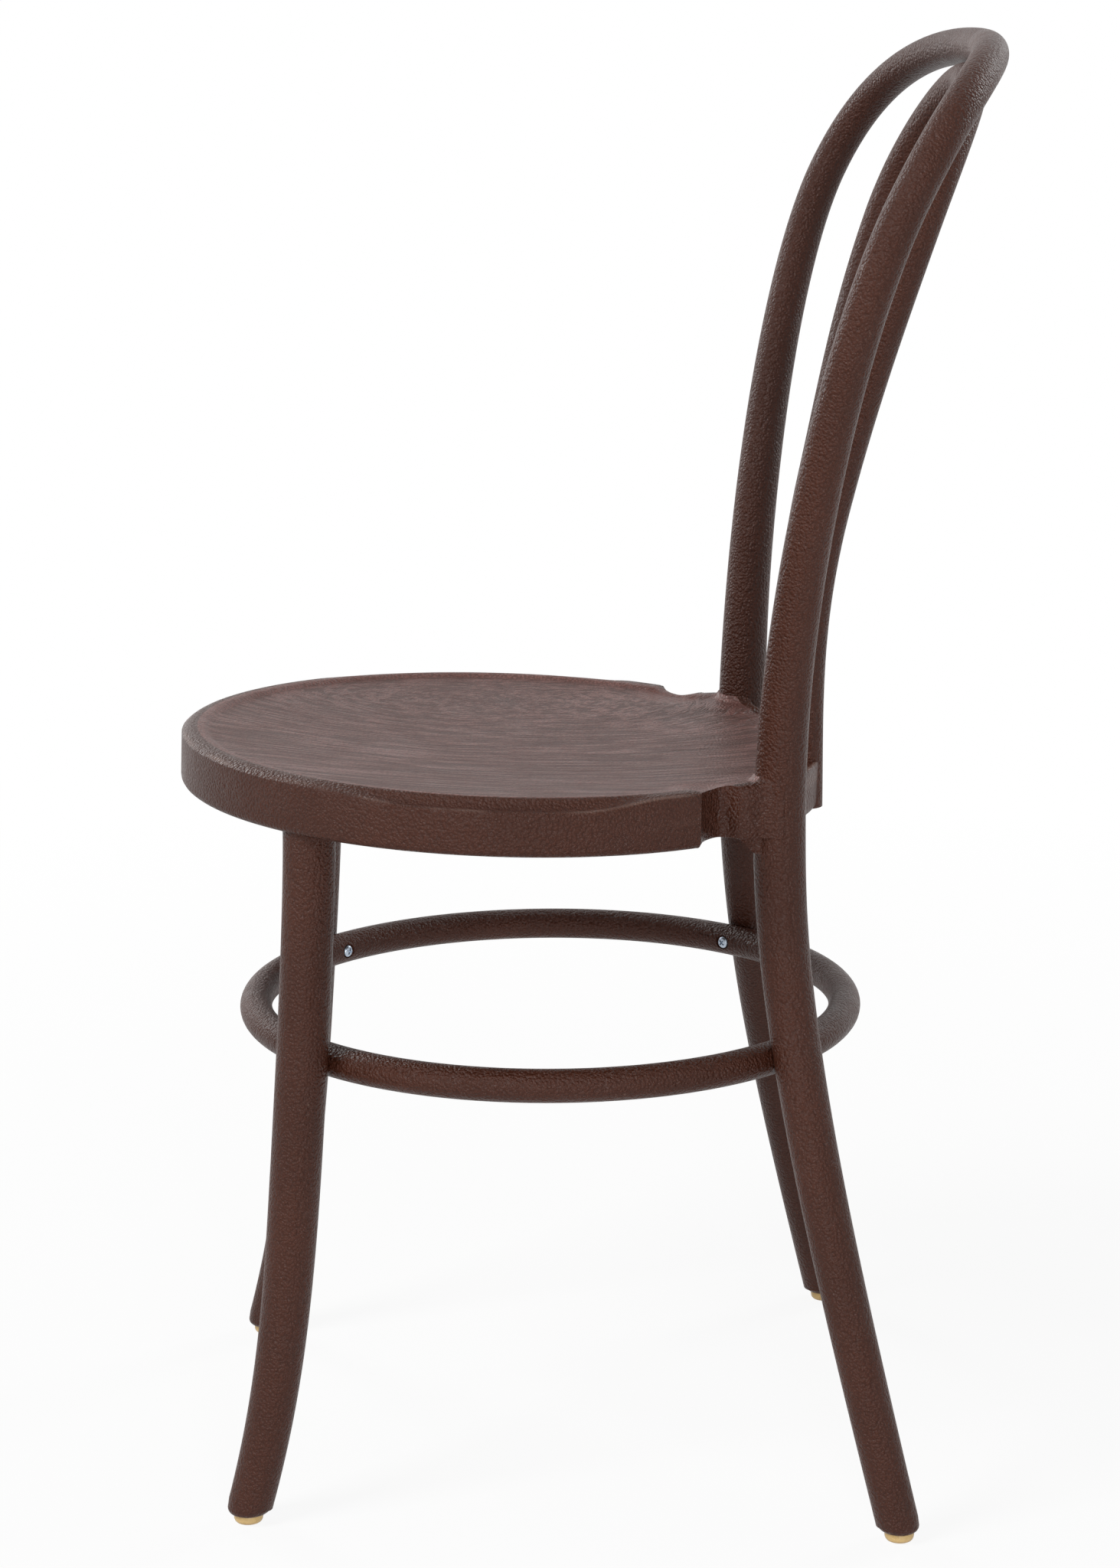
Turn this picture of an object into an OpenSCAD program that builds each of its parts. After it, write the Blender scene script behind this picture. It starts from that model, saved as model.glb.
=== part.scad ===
// Round-seat chair in the classic bentwood form, moulded in brown resin.
// Millimetres, +Z up, the sitter faces -Y. The origin is on the floor, at the middle of the overall box.
// Heights are above the floor. A y place in the values below is measured from the middle of the ring.

/* [Seat] */
// Height of the seat's lip above the floor, at the middle of the seat
seat_h = 460; // [440:5:480]
// Diameter over the seat's side wall
seat_d = 402; // [392:1:410]
// Place of the seat's middle along y
seat_y = -29.5; // [-33:0.5:-26]
// How much the seat falls towards the back, in degrees
seat_tilt = 2.2; // [0:0.1:4]
// Depth of the rim, from the lip's top to its lower edge
rim_depth = 34.5; // [32:0.5:42]
// How far the side wall stands out past the lip
wall_step = 7.5; // [5:0.5:9]
// Height of the lip above the wall's upper ridge
lip_h = 7; // [5:0.5:9]
// Width of the raised lip
lip_w = 10; // [8:0.5:13]
// How far the lip's inner edge lies above the panel
lip_rise = 2.5; // [1.5:0.5:4]
// Depth of the dished panel at its middle, below its own edge
dish_depth = 8; // [4:0.5:12]
// Thickness of the panel
panel_t = 5; // [4:0.5:6]
// Thickness of the skirt wall
skirt_t = 5; // [4:0.5:6]
// Thickness of the ribs under the panel
rib_t = 3; // [2.5:0.5:4]
// Diameter of the round rib under the panel
rib_ring_d = 170; // [140:5:200]
// Number of straight ribs under the panel
rib_count = 8; // [4:2:12]
// Wall left round a leg or a loop end where it is held in the seat
socket_wall = 4.2; // [3.5:0.1:5]

/* [Rear lugs] */
// Half of the rear sector without a raised lip, in degrees
lug_sector = 56; // [54.5:0.5:57]
// How far the rear sector and the lugs lie below the lip
lug_drop = 4.2; // [3.5:0.1:5]
// Height of the lug's side
lug_h = 28.6; // [26:0.2:29]
// Radius of the scoop in front of the post
scoop_r = 18; // [17:0.25:19]
// Distance of the scoop's middle outwards from the post's middle
scoop_x = 31.5; // [30.5:0.25:33]
// Distance of the scoop's middle in front of the post's middle
scoop_y = 29; // [27:0.5:31]
// Distance from the post's middle forwards to the rim's end
rim_end_y = 46; // [44:0.5:48]
// Thickness of the lug's tongue that is let into the post
tongue_t = 2; // [1.5:0.1:2.5]
// Radius of the fillet that rises from the lug to the post
fillet_r = 7; // [5:0.5:8]
// Height of the small gusset under the lug
gusset_h = 10; // [8:0.5:12]

/* [Back frame] */
// Height of the chair's top
chair_h = 892; // [870:1:910]
// Diameter of the rear foot
rear_foot_d = 26; // [24:0.5:28]
// Diameter of the rear leg at the ring
rear_leg_d = 29.5; // [28:0.5:30.5]
// Diameter of the post at the seat
post_d = 32; // [30:0.5:33]
// Diameter of the stile between the seat and the hoop
stile_d = 27; // [25:0.5:29]
// Diameter of the hoop at its top
hoop_d = 22.4; // [20:0.2:25]
// Distance of the rear foot from the middle, sideways
rear_foot_x = 205; // [195:1:215]
// Place of the rear foot along y
rear_foot_y = 200.5; // [190:0.5:210]
// Half of the hoop's greatest width, to the middle of its bar
hoop_half_w = 197; // [185:1:205]
// Height from the hoop's widest place to the middle of its top bar
hoop_rise = 83.5; // [75:0.5:95]
// Place of the hoop's widest part along y
hoop_side_y = 193.5; // [185:0.5:202]
// Place of the hoop's top along y
hoop_top_y = 263; // [255:0.5:270]
// How far the post's middle lies outside the seat's wall
post_out = 5.2; // [4:0.2:6.6]
// Direction of the post from the seat's middle, in degrees from straight back
post_angle = 37.9; // [36:0.1:40]
// Lean of the hoop's side at its widest part, in degrees
hoop_lean = 25; // [15:1:32]

/* [Inner loop] */
// Diameter of the loop's bar
loop_d = 22; // [20:0.5:23]
// Half of the distance between the loop's lower ends
loop_foot_x = 42; // [36:1:50]
// How far the loop's lower end lies inside the seat's wall
loop_inset = 9.3; // [8:0.1:10.3]
// Half of the loop's greatest width, to the middle of its bar
loop_half_w = 86.5; // [76:0.5:96]
// Height from the loop's widest place to the middle of its top
loop_rise = 86.5; // [76:0.5:96]
// Place of the loop's widest part along y
loop_side_y = 216.5; // [208:0.5:222]

/* [Front legs] */
// Diameter of the front foot
front_foot_d = 27.4; // [25:0.2:29]
// Diameter of the front leg at the ring
front_leg_d = 31.2; // [29:0.2:32]
// Diameter of the front leg in the seat
front_top_d = 31.6; // [30:0.2:33]
// Distance of the front foot from the middle, sideways
front_foot_x = 159.5; // [152:0.5:168]
// Place of the front foot along y
front_foot_y = -190.5; // [-198:0.5:-184]
// How far the front leg's middle lies inside the seat's wall
front_leg_inset = 20.5; // [20:0.1:24]
// Direction of the front leg from the seat's middle, in degrees from straight ahead
front_leg_angle = 49; // [45:0.5:52]
// Distance of the front leg's top end below the lip
front_leg_drop = 6.5; // [6:0.5:9]

/* [Ring stretcher] */
// Height of the ring's middle above the floor
ring_h = 284; // [260:1:300]
// Diameter of the ring, to the middle of its bar
ring_d = 375.6; // [365:0.2:385]
// Diameter of the ring's bar
ring_bar_d = 20.3; // [18:0.1:22]
// Depth of the saddles that let the legs into the ring
saddle_depth = 1.5; // [1:0.1:2]
// Direction of the ring's joint on the front leg, in degrees from straight ahead
ring_front_angle = 42.8; // [40:0.2:46]
// Direction of the ring's joint on the rear leg, in degrees from straight back
ring_rear_angle = 47; // [44:0.2:50]

/* [Glides] */
// Diameter of the button glide
glide_d = 18; // [16:0.5:20]
// Height of the glide below the foot
glide_h = 6; // [4:0.5:8]
// Diameter of the glide's stem
stem_d = 6; // [5:0.5:8]
// Length of the glide's stem
stem_l = 16; // [12:1:20]

/* [Screws] */
// Diameter of a screw's shank
screw_d = 4; // [3.5:0.1:4.5]
// Diameter of a screw's pan head
screw_head_d = 8; // [7.5:0.1:8.6]
// Height of a screw's pan head
screw_head_h = 2.6; // [2:0.1:3]
// Depth of the ring's counterbore for a head
head_sink = 2.2; // [1.5:0.1:2.6]
// Length of a screw in the piece that it bites
screw_bite = 17; // [14:1:19]
// Depth of the flat that is sunk for a head in the seat
spot_face = 1; // [0.8:0.1:1.4]
// Space between two pieces that are let into each other
fit_gap = 0.3; // [0.2:0.05:0.4]

/* [Hidden] */

$fn = 64;
bar_sides = 20;
resin = [0.30, 0.20, 0.165];
seat_resin = [0.36, 0.27, 0.24];
amber = [0.80, 0.58, 0.30];
zinc = [0.68, 0.70, 0.74];

seat_r = seat_d / 2;
lip_r = seat_r - wall_step;
panel_r = lip_r - lip_w;
fall = tan(seat_tilt);
ring_r = ring_d / 2;
ring_bar_r = ring_bar_d / 2;
screw_r = screw_d / 2;

// The overall box runs from the tilted wall's front to the back of the hoop
rim_round = 4;
front_reach = seat_r * cos(seat_tilt) + (rim_depth - rim_round) * sin(seat_tilt);
mid_y = (hoop_top_y + hoop_d / 2 + seat_y - front_reach) / 2;

// Height of the seat's lip at a place along y
function lip_z(y) = seat_h - fall * (y - seat_y);

// A place at a distance from the seat's middle, in a direction measured from straight back
function from_seat(reach, angle) = [reach * sin(angle), seat_y + reach * cos(angle)];

post = from_seat(seat_r + post_out, post_angle);
post_z = lip_z(post.y) - lug_drop - lug_h / 2;
front_top = from_seat(seat_r - front_leg_inset, 180 - front_leg_angle);
front_top_z = lip_z(front_top.y) - front_leg_drop;
loop_foot_y = seat_y + sqrt(pow(seat_r - loop_inset, 2) - pow(loop_foot_x, 2));
loop_foot_z = lip_z(loop_foot_y) - rim_depth;
hoop_top_z = chair_h - hoop_d / 2;

// The ring meets each leg at the depth of its saddle
ring_rear_reach = ring_r + ring_bar_r + rear_leg_d / 2 - saddle_depth;
ring_front_reach = ring_r + ring_bar_r + front_leg_d / 2 - saddle_depth;
rear_joint = [ring_rear_reach * sin(ring_rear_angle), ring_rear_reach * cos(ring_rear_angle), ring_h];
front_joint = [ring_front_reach * sin(ring_front_angle), -ring_front_reach * cos(ring_front_angle), ring_h];

// The loop's top is let into the hoop's underside by a shallow saddle
loop_top_dist = (hoop_d + loop_d) / 2 - 0.7;
loop_top_lean = 19.5;
loop_top = [0, hoop_top_y - loop_top_dist * sin(loop_top_lean),
    hoop_top_z - loop_top_dist * cos(loop_top_lean)];

function unit(v) = v / norm(v);

// Points of one bend from p to q that leaves along tp and arrives along tq.
// The last two numbers are the handles, as shares of the distance. The point q itself is left out.
function bend(p, tp, q, tq, out, into, steps) =
    let (span = norm(q - p), a = p + unit(tp) * span * out, b = q - unit(tq) * span * into)
    [for (i = [0:steps - 1]) let (u = i / steps, w = 1 - u)
        w * w * w * p + 3 * w * w * u * a + 3 * w * u * u * b + u * u * u * q];

// The other half of a bend that ends on the middle plane
function with_mirror(half) =
    concat(half, [for (i = [len(half) - 2:-1:0]) [-half[i].x, half[i].y, half[i].z]]);

// Direction of a path at one of its points
function heading(path, i) = unit(path[min(i + 1, len(path) - 1)] - path[max(i - 1, 0)]);

// Centre line of the right-hand half of the back frame, from the foot to the top
foot_z = glide_h + 5;
up = [0, 0, 1];
rear_foot = [rear_foot_x, rear_foot_y, foot_z];
rear_slope = [-0.08, -0.24, 1];
rear_joint_slope = [-0.36, -0.14, 1];
post_point = [post.x, post.y, post_z];
hoop_side = [hoop_half_w, hoop_side_y, hoop_top_z - hoop_rise];
hoop_side_up = [0, sin(hoop_lean), cos(hoop_lean)];
hoop_top = [0, hoop_top_y, hoop_top_z];
back_half = concat(
    bend(rear_foot, rear_slope, rear_joint, rear_joint_slope, 0.34, 0.30, 8),
    bend(rear_joint, rear_joint_slope, post_point, up, 0.38, 0.37, 6),
    bend(post_point, up, hoop_side, hoop_side_up, 0.36, 0.20, 12),
    bend(hoop_side, hoop_side_up, hoop_top, [-1, 0, 0], 0.37, 0.52, 12),
    [hoop_top]);
back_radii = [[foot_z, rear_foot_d / 2], [ring_h, rear_leg_d / 2], [post_z, post_d / 2],
    [post_z + 90, stile_d / 2 + 1], [post_z + 270, stile_d / 2 - 0.8], [hoop_top_z, hoop_d / 2]];

// Centre line of one half of the inner loop, from the seat to the top
loop_foot = [loop_foot_x, loop_foot_y, loop_foot_z];
loop_waist = [53.5, 171.5, 610];
loop_waist_up = [0.13, 0.23, 1];
loop_side = [loop_half_w, loop_side_y, loop_top.z - loop_rise];
loop_side_up = [0, sin(19), cos(19)];
loop_half = concat(
    bend(loop_foot, up, loop_waist, loop_waist_up, 0.36, 0.40, 8),
    bend(loop_waist, loop_waist_up, loop_side, loop_side_up, 0.36, 0.37, 8),
    bend(loop_side, loop_side_up, loop_top, [-1, 0, 0], 0.39, 0.36, 10),
    [loop_top]);

// Centre line of the front leg, from the foot to its top in the seat
front_foot = [front_foot_x, front_foot_y, foot_z];
front_slope = [-0.04, 0.27, 1];
front_joint_slope = [-0.01, 0.07, 1];
front_shoulder = [front_top.x, front_top.y, lip_z(front_top.y) - rim_depth];
front_path = concat(
    bend(front_foot, front_slope, front_joint, front_joint_slope, 0.32, 0.45, 12),
    bend(front_joint, front_joint_slope, front_shoulder, up, 0.32, 0.22, 6),
    [front_shoulder, [front_top.x, front_top.y, front_top_z]]);
front_radii = [[foot_z, front_foot_d / 2], [ring_h - 80, front_leg_d / 2 - 0.1], [ring_h, front_leg_d / 2],
    [front_top_z, front_top_d / 2]];

// Rings of the rounded end below a foot, each as place, direction and radius
end_round = 4.5;
function foot_end(path, r) =
    [for (rise = [0, 0.12, 0.35, 0.65, 1])
        let (z = glide_h + rise * end_round, d = heading(path, 0))
        [path[0] + d * (z - foot_z) / d.z, up,
            r - end_round + sqrt(pow(end_round, 2) - pow((1 - rise) * end_round, 2))]];

// Rings of a bar along a path, with its radius looked up by height
function bar_rings(path, radii) =
    [for (i = [0:len(path) - 1]) [path[i], heading(path, i), lookup(path[i].z, radii)]];

// Closed bar through rings, each given as place, direction and radius
module bar(rings) {
    n = bar_sides;
    last = len(rings) - 1;
    points = [for (ring = rings)
        let (u = unit(cross(ring[1], [0, 1, 0])), v = cross(ring[1], u))
        for (k = [0:n - 1]) ring[0] + ring[2] * (cos(360 * k / n) * u + sin(360 * k / n) * v)];
    sides = [for (i = [0:last - 1]) for (k = [0:n - 1])
        let (a = i * n + k, b = i * n + (k + 1) % n)
        each [[a, b, a + n], [b, b + n, a + n]]];
    start_cap = [for (k = [1:n - 2]) [0, k + 1, k]];
    end_cap = [for (k = [1:n - 2]) [last * n, last * n + k, last * n + k + 1]];
    polyhedron(points = points, faces = concat(sides, start_cap, end_cap), convexity = 8);
}

// Everything is drawn round the ring's middle and moved to the overall box's middle
module placed() { translate([0, -mid_y, 0]) children(); }

module both_sides() { for (side = [0, 1]) mirror([side, 0, 0]) children(); }

// Turns +Z to a direction and moves to a place
module along(place, direction) {
    d = unit(direction);
    translate(place) rotate([0, acos(d.z), atan2(d.y, d.x)]) children();
}

// Places children in the seat's own tilted frame, with z = 0 at the lip's top
module in_seat() { translate([0, seat_y, seat_h]) rotate([-seat_tilt, 0, 0]) children(); }

// Places children at the right-hand post, with +X pointing away from the seat's middle and z = 0 mid-lug
module at_post() { translate(post_point) rotate([0, 0, 90 - post_angle]) children(); }

// Screw along +Z with its head's seat at z = 0, shank upwards and a cross recess
module screw(length) {
    difference() {
        union() {
            cylinder(h = length, r = screw_r);
            rotate_extrude() polygon([[0, 0], [screw_head_d / 2, 0], [screw_head_d / 2, -screw_head_h * 0.45],
                [screw_head_d * 0.40, -screw_head_h * 0.85], [screw_head_d * 0.25, -screw_head_h],
                [0, -screw_head_h]]);
        }
        for (turn = [0, 90]) rotate([0, 0, turn])
            translate([-screw_head_d * 0.29, -0.5, -screw_head_h - 1]) cube([screw_head_d * 0.58, 1, 2.3]);
        translate([0, 0, length]) rotate_extrude()
            polygon([[screw_r - 0.8, 0.1], [screw_r + 1, 0.1], [screw_r + 1, -1.7]]);
    }
}

// Hole that a screw bites, along +Z from z = 0 at the head's seat
module screw_hole(length) { translate([0, 0, -1]) cylinder(h = length + 1.6, r = screw_r + 0.1); }

// Counterbore that takes a screw's head, from the head's seat down
module head_pocket(depth) {
    translate([0, 0, -depth]) cylinder(h = depth + 0.05, r = screw_head_d / 2 + 0.75);
}

// Screw hole with its counterbore
module screw_seat(length) {
    screw_hole(length);
    head_pocket(6);
}

// Joint frames: each puts z = 0 at the screw head's seat and +Z along the screw
head_reach = ring_r - ring_bar_r + head_sink;
module at_ring_joint(angle) {
    rotate([0, 0, 90 - angle]) translate([head_reach, 0, ring_h]) rotate([0, 90, 0]) children();
}
ring_rear_length = ring_rear_reach - rear_leg_d / 2 - head_reach + screw_bite;
ring_front_length = ring_front_reach - front_leg_d / 2 - head_reach + screw_bite;

lug_block = 13;
module at_lug_screw() {
    at_post() translate([-post_d / 2 - lug_block + spot_face, 0, 0]) rotate([0, 90, 0]) children();
}
lug_screw_length = lug_block - spot_face + screw_bite;

module at_front_leg_screw() {
    translate([front_top.x, front_top.y, lip_z(front_top.y) - rim_depth + 14])
        rotate([0, 0, front_leg_angle - 90])
            translate([-front_top_d / 2 - fit_gap - socket_wall + spot_face, 0, 0])
                rotate([0, 90, 0]) children();
}
front_leg_screw_length = socket_wall - spot_face + screw_bite;

module at_loop_foot_screw() {
    translate([loop_foot_x, loop_foot_y - loop_d / 2 - fit_gap - socket_wall + spot_face, loop_foot_z + 14])
        rotate([-90, 0, 0]) children();
}
loop_foot_screw_length = socket_wall - spot_face + screw_bite - 3;

module at_loop_top_screw() {
    lean = [0, sin(loop_top_lean), cos(loop_top_lean)];
    along(loop_top - lean * (loop_d / 2 - head_sink), lean) children();
}
loop_top_screw_length = loop_d - head_sink + hoop_d * 0.55;

// Outline of the seat's moulding, half a section from the axis outwards
function dish_z(r) = -lip_rise - dish_depth * (1 - pow(r / panel_r, 2));
function lower_edge() =
    [for (a = [0:30:90])
        [seat_r - rim_round + rim_round * cos(a), -rim_depth + rim_round - rim_round * sin(a)]];
function seat_line() = concat(
    [for (i = [0:10]) let (r = panel_r * i / 10) [r, dish_z(max(r, panel_r / 10))]],
    [[panel_r + lip_w * 0.30, -0.7], [panel_r + lip_w * 0.5, -0.1], [panel_r + lip_w * 0.62, 0],
     [panel_r + lip_w * 0.80, -0.5], [panel_r + lip_w * 0.94, -1.8], [lip_r + 0.2, -3.4],
     [lip_r + wall_step * 0.30, -lip_h + 1.4], [lip_r + wall_step * 0.68, -lip_h + 0.4],
     [seat_r - 0.6, -lip_h - 1.0], [seat_r, -lip_h - 3.0]],
    lower_edge(), [[0, -rim_depth]]);

module seat_envelope() { rotate_extrude($fn = 96) polygon(seat_line()); }

// What is taken off the top of the rear sector, where the lip stops
module rear_trim() {
    inner_r = panel_r * 0.86;
    rotate([0, 0, 90 - lug_sector]) rotate_extrude(angle = 2 * lug_sector, $fn = 96)
        translate([inner_r, -lug_drop]) square([seat_r + 40 - inner_r, 20]);
}

// Hollow under the panel
module seat_hollow() {
    inner_r = seat_r - skirt_t;
    rotate_extrude($fn = 96) polygon(concat(
        [for (i = [0:10]) let (r = panel_r * i / 10) [r, dish_z(max(r, panel_r / 10)) - panel_t]],
        [[inner_r - 5, dish_z(panel_r) - panel_t - 1], [inner_r, dish_z(panel_r) - panel_t - 6],
         [inner_r, -rim_depth - 1], [0, -rim_depth - 1]]));
}

// Ribs under the panel, stopped short of the lower edge
rib_drop = 12;
module seat_ribs() {
    translate([0, 0, -rim_depth + rib_drop]) {
        difference() {
            cylinder(h = rim_depth, d = rib_ring_d + rib_t);
            translate([0, 0, -1]) cylinder(h = rim_depth + 2, d = rib_ring_d - rib_t);
        }
        for (i = [0:rib_count - 1]) rotate([0, 0, 360 / rib_count * (i + 0.5)])
            translate([rib_ring_d / 2, -rib_t / 2, 0]) cube([seat_r + 5 - rib_ring_d / 2, rib_t, rim_depth]);
    }
}

// Solid blocks in the rim that hold the front legs, the loop's ends and the posts
module seat_blocks() {
    intersection() {
        translate([0, 0, -lug_drop - lug_h]) linear_extrude(lug_h + lug_drop) both_sides() {
            translate([front_top.x, front_top.y - seat_y]) circle(front_top_d / 2 + fit_gap + socket_wall);
            translate([loop_foot_x, loop_foot_y - seat_y]) circle(loop_d / 2 + fit_gap + socket_wall);
            rotate(90 - post_angle)
                translate([seat_r + post_out - post_d / 2 - lug_block, -58]) square([40, 84]);
        }
        seat_envelope();
    }
}

// Slab from the lug's underside up, with so much more below and above the lug
module lug_slab(below, above) {
    translate([0, 0, -lug_drop - lug_h - below]) cylinder(h = lug_h + below + above, r = seat_r + 60);
}

// Part of the lug outside the round wall, in plan from the post's middle.
// Its outer face runs into the post's outermost line.
tongue_to = 4;
tongue_from = -62;
module lug_plan() {
    r = post_d / 2;
    polygon(concat(
        [[r * 0.7, -scoop_y - 22], [scoop_x, -scoop_y - 22], [scoop_x, -r], [r + 2.3, -r + 2], [r + 1.3, -r * 0.5]],
        [for (a = [-15:7:6]) [r * cos(a), r * sin(a)]],
        [[r * 0.5, 2], [-r * 0.3, -r * 0.6]]));
}

// Bite between the rim's end and the lug, in plan from the post's middle
module scoop_plan() {
    translate([scoop_x, -scoop_y]) circle(scoop_r);
    polygon([[scoop_x + 40, -rim_end_y - 12.5], [scoop_x - 5, -rim_end_y], [scoop_x - 10.5, -rim_end_y + 5],
        [scoop_x - 14.5, -rim_end_y + 11], [scoop_x - scoop_r + 0.3, -scoop_y], [scoop_x, -scoop_y],
        [scoop_x + 40, -scoop_y + scoop_r]]);
}

// Space between the lug's underside and the rim's lower edge
module under_lug() {
    translate([0, 0, -rim_depth - 1]) linear_extrude(rim_depth + 1 - lug_drop - lug_h)
        translate([post.x, post.y - seat_y]) rotate(90 - post_angle)
            translate([-50, -rim_end_y]) square([90, rim_end_y + 20]);
}

// Ring sector round the post over the tongue's width
module tongue_ring(inner_r, outer_r, gap) {
    translate([post.x, post.y, post_z - 40]) rotate([0, 0, tongue_from - gap])
        rotate_extrude(angle = tongue_to - tongue_from + 2 * gap)
            translate([inner_r, 0]) square([outer_r - inner_r, 80]);
}

// The lug's outer part, still as high as the lip
module lug() {
    intersection() {
        translate([post.x, post.y, 0]) linear_extrude(chair_h) lug_plan();
        in_seat() lug_slab(0, lug_drop);
    }
}

// Thin end of the lug, let into the post and flush with its surface
module tongue() {
    intersection() {
        tongue_ring(post_d / 2 - tongue_t + fit_gap, post_d / 2 + 1.6, 0);
        translate([post.x, post.y, 0]) linear_extrude(chair_h) lug_plan();
        in_seat() lug_slab(0, 0);
    }
}

// Concave fillet between the lug's top and the post
module fillet() {
    r = post_d / 2;
    top = post_z + lug_h / 2;
    intersection() {
        translate([post.x, post.y, top - 3.2]) rotate_extrude() polygon(concat(
            [[r - 1, 0], [r + 1.1 + fillet_r, 0]],
            [for (a = [0:15:75]) [r + 1.1 + fillet_r * (1 - sin(a)), 2 + fillet_r * (1 - cos(a))]],
            [[r - 1, 2 + fillet_r * 0.85]]));
        translate([0, 0, top - 5]) linear_extrude(fillet_r + 8) difference() {
            union() {
                translate([0, seat_y]) circle(seat_r - 0.5);
                translate([post.x, post.y])
                    polygon([[-r, -r - 14], [r + 1.2, -r - 14], [r + 1.2, -4], [0, -4]]);
            }
            translate([post.x, post.y]) scoop_plan();
        }
    }
}

// Small gusset under the lug, in front of the post
module gusset() {
    r = post_d / 2;
    difference() {
        translate([post.x + r - 5, post.y, post_z - lug_h / 2]) rotate([0, -90, 0]) linear_extrude(6)
            polygon([[4, -r - 9], [1, -r - 9], [-gusset_h, -r + 1], [-gusset_h, -r + 6], [4, -r + 6]]);
        translate([post.x, post.y, post_z - 60]) cylinder(h = 120, r = r + fit_gap);
    }
}

// The seat's solid form without its cuts
module seat_body() {
    difference() {
        union() {
            in_seat() {
                difference() {
                    seat_envelope();
                    difference() {
                        seat_hollow();
                        seat_ribs();
                    }
                }
                seat_blocks();
            }
            both_sides() lug();
        }
        in_seat() rear_trim();
    }
    both_sides() fillet();
}

// Everything that is let into the right-hand side of the seat, and its scoop
module seat_cuts() {
    translate([post.x, post.y, post_z - 60]) linear_extrude(120) scoop_plan();
    translate([post.x, post.y, post_z - 60]) cylinder(h = 120, r = post_d / 2 + fit_gap);
    translate([front_top.x, front_top.y, 0]) cylinder(h = front_top_z + fit_gap, r = front_top_d / 2 + fit_gap);
    translate([loop_foot_x, loop_foot_y, 0]) cylinder(h = chair_h, r = loop_d / 2 + fit_gap);
    in_seat() under_lug();
    at_lug_screw() screw_seat(lug_screw_length);
    at_front_leg_screw() screw_seat(front_leg_screw_length);
    at_loop_foot_screw() screw_seat(loop_foot_screw_length);
}

module seat() {
    color(seat_resin) placed() union() {
        difference() {
            seat_body();
            both_sides() seat_cuts();
        }
        both_sides() {
            tongue();
            gusset();
        }
    }
}

module back_frame() {
    color(resin) placed() difference() {
        bar(concat(foot_end(back_half, rear_foot_d / 2), bar_rings(with_mirror(back_half), back_radii)));
        both_sides() {
            at_ring_joint(ring_rear_angle) screw_hole(ring_rear_length);
            at_lug_screw() screw_hole(lug_screw_length);
            at_glide(back_half) glide_hole();
            intersection() {
                tongue_ring(post_d / 2 - tongue_t, post_d / 2 + 4, 1.2);
                in_seat() lug_slab(fit_gap, fit_gap);
            }
        }
        at_loop_top_screw() screw_hole(loop_top_screw_length);
    }
}

module inner_loop() {
    color(resin) placed() difference() {
        bar(bar_rings(with_mirror(loop_half), [[0, loop_d / 2]]));
        translate([-60, hoop_top_y, hoop_top_z]) rotate([0, 90, 0])
            cylinder(h = 120, r = hoop_d / 2 + fit_gap);
        both_sides() at_loop_foot_screw() screw_hole(loop_foot_screw_length);
        at_loop_top_screw() screw_seat(loop_top_screw_length);
    }
}

module front_leg() {
    difference() {
        bar(concat(foot_end(front_path, front_foot_d / 2), bar_rings(front_path, front_radii)));
        at_ring_joint(180 - ring_front_angle) screw_hole(ring_front_length);
        at_front_leg_screw() screw_hole(front_leg_screw_length);
        at_glide(front_path) glide_hole();
    }
}
module front_leg_left() { color(resin) placed() front_leg(); }
module front_leg_right() { color(resin) placed() mirror([1, 0, 0]) front_leg(); }

module ring_stretcher() {
    color(resin) placed() difference() {
        translate([0, 0, ring_h]) rotate_extrude($fn = 128) translate([ring_r, 0]) circle(ring_bar_r);
        both_sides() {
            along(rear_joint, rear_joint_slope) translate([0, 0, -30])
                cylinder(h = 60, r = rear_leg_d / 2 + fit_gap);
            along(front_joint, front_joint_slope) translate([0, 0, -30])
                cylinder(h = 60, r = front_leg_d / 2 + fit_gap);
            for (angle = [ring_rear_angle, 180 - ring_front_angle])
                at_ring_joint(angle) screw_seat(ring_rear_length);
        }
    }
}

module ring_screws() {
    color(zinc) placed() both_sides() {
        at_ring_joint(ring_rear_angle) screw(ring_rear_length);
        at_ring_joint(180 - ring_front_angle) screw(ring_front_length);
    }
}
module lug_screws() {
    color(zinc) placed() both_sides() at_lug_screw() screw(lug_screw_length);
}
module front_leg_screws() {
    color(zinc) placed() both_sides() at_front_leg_screw() screw(front_leg_screw_length);
}
module loop_foot_screws() {
    color(zinc) placed() both_sides() at_loop_foot_screw() screw(loop_foot_screw_length);
}
module loop_top_screw() { color(zinc) placed() at_loop_top_screw() screw(loop_top_screw_length); }

// Places children below a leg, on the floor
module at_glide(path) {
    d = heading(path, 0);
    foot = path[0] - d * (foot_z - glide_h) / d.z;
    translate([foot.x, foot.y, 0]) children();
}
module glide_hole() { cylinder(h = glide_h + stem_l + 0.5, r = stem_d / 2 + 0.1); }
module glide() {
    edge = glide_h * 0.33;
    r = glide_d / 2;
    rotate_extrude() polygon(concat([[0, 0]],
        [for (a = [0:22.5:90]) [r - edge + edge * sin(a) - 0.2, edge - edge * cos(a)]],
        [[r, glide_h * 0.55], [r, glide_h * 0.8], [r - 0.6, glide_h], [stem_d / 2, glide_h],
         [stem_d / 2, glide_h + stem_l - 1], [stem_d / 2 - 1, glide_h + stem_l], [0, glide_h + stem_l]]));
}
module glide_front_left() { color(amber) placed() at_glide(front_path) glide(); }
module glide_front_right() { color(amber) placed() mirror([1, 0, 0]) at_glide(front_path) glide(); }
module glide_rear_left() { color(amber) placed() at_glide(back_half) glide(); }
module glide_rear_right() { color(amber) placed() mirror([1, 0, 0]) at_glide(back_half) glide(); }

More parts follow.
